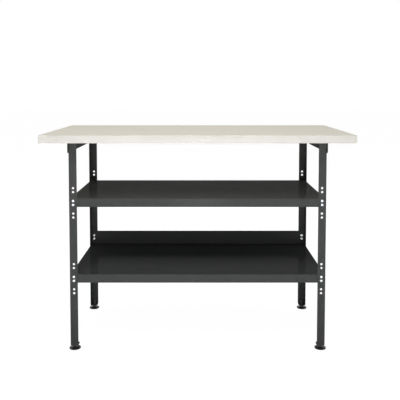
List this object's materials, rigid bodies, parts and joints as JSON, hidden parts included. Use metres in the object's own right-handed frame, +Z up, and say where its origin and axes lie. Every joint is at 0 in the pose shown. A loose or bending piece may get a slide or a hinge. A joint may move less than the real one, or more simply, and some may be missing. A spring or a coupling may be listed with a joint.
{
  "type": "assembly table",
  "caption": "Workshop assembly table: faced board worktop on a bolted angle-steel frame with folded sheet-metal shelves and levelling feet.",
  "frame": {"origin": "on the floor, under the middle of the worktop, with the feet screwed right in", "axes": "+X to the right along the worktop's length, +Y from the front to the rear, +Z up"},
  "size_m": [1.2, 0.6, 0.853],
  "materials": {
    "board_facing": "matt melamine facing",
    "edge_band": "smooth glued edge band",
    "powder_coat": "fine satin powder coat",
    "zinc_plate": "bright zinc plate",
    "black_oxide": "black oxide, slightly oiled",
    "foot_plastic": "moulded plastic",
    "sole_rubber": "matt rubber"
  },
  "bodies": {
    "frame": {"worktop_board": "board_facing", "worktop_screws": "zinc_plate", "rail_bolts": "zinc_plate", "rail_nuts": "zinc_plate", "edge_band_front": "edge_band", "edge_band_rear": "edge_band", "edge_band_left": "edge_band", "edge_band_right": "edge_band", "rail_left": "powder_coat", "rail_right": "powder_coat", "leg_front_left": "powder_coat", "foot_plate_front_left": "powder_coat", "foot_nut_front_left": "powder_coat", "leg_front_right": "powder_coat", "foot_plate_front_right": "powder_coat", "foot_nut_front_right": "powder_coat", "leg_rear_left": "powder_coat", "foot_plate_rear_left": "powder_coat", "foot_nut_rear_left": "powder_coat", "leg_rear_right": "powder_coat", "foot_plate_rear_right": "powder_coat", "foot_nut_rear_right": "powder_coat", "upper_shelf": "powder_coat", "upper_shelf_stiffener": "powder_coat", "upper_shelf_bolts": "zinc_plate", "upper_shelf_nuts": "zinc_plate", "lower_shelf": "powder_coat", "lower_shelf_stiffener": "powder_coat", "lower_shelf_bolts": "zinc_plate", "lower_shelf_nuts": "zinc_plate"},
    "foot_front_left": {"foot_pad_front_left": "foot_plastic", "foot_sole_front_left": "sole_rubber"},
    "stud_front_left": {"foot_stud_front_left": "black_oxide"},
    "foot_front_right": {"foot_pad_front_right": "foot_plastic", "foot_sole_front_right": "sole_rubber"},
    "stud_front_right": {"foot_stud_front_right": "black_oxide"},
    "foot_rear_left": {"foot_pad_rear_left": "foot_plastic", "foot_sole_rear_left": "sole_rubber"},
    "stud_rear_left": {"foot_stud_rear_left": "black_oxide"},
    "foot_rear_right": {"foot_pad_rear_right": "foot_plastic", "foot_sole_rear_right": "sole_rubber"},
    "stud_rear_right": {"foot_stud_rear_right": "black_oxide"}
  },
  "joints": [
    {"name": "foot_slide_front_left", "type": "slide", "parent": "frame", "child": "foot_front_left", "axis": [0, 0, 1], "range_m": [-0.012, 0]},
    {"name": "stud_turn_front_left", "type": "hinge", "parent": "foot_front_left", "child": "stud_front_left", "pos_m": [-0.486, -0.2175, 0.0145], "axis": [0, 0, 1], "range_deg": [-2880.5, 0]},
    {"name": "foot_slide_front_right", "type": "slide", "parent": "frame", "child": "foot_front_right", "axis": [0, 0, 1], "range_m": [-0.012, 0]},
    {"name": "stud_turn_front_right", "type": "hinge", "parent": "foot_front_right", "child": "stud_front_right", "pos_m": [0.486, -0.2175, 0.0145], "axis": [0, 0, 1], "range_deg": [-2880.5, 0]},
    {"name": "foot_slide_rear_left", "type": "slide", "parent": "frame", "child": "foot_rear_left", "axis": [0, 0, 1], "range_m": [-0.012, 0]},
    {"name": "stud_turn_rear_left", "type": "hinge", "parent": "foot_rear_left", "child": "stud_rear_left", "pos_m": [-0.486, 0.2175, 0.0145], "axis": [0, 0, 1], "range_deg": [-2880.5, 0]},
    {"name": "foot_slide_rear_right", "type": "slide", "parent": "frame", "child": "foot_rear_right", "axis": [0, 0, 1], "range_m": [-0.012, 0]},
    {"name": "stud_turn_rear_right", "type": "hinge", "parent": "foot_rear_right", "child": "stud_rear_right", "pos_m": [0.486, 0.2175, 0.0145], "axis": [0, 0, 1], "range_deg": [-2880.5, 0]}
  ],
  "couplings": [
    {"joint": "stud_turn_front_left", "follows": "foot_slide_front_left", "rad_per_m": 4188.8},
    {"joint": "stud_turn_front_right", "follows": "foot_slide_front_right", "rad_per_m": 4188.8},
    {"joint": "stud_turn_rear_left", "follows": "foot_slide_rear_left", "rad_per_m": 4188.8},
    {"joint": "stud_turn_rear_right", "follows": "foot_slide_rear_right", "rad_per_m": 4188.8}
  ]
}
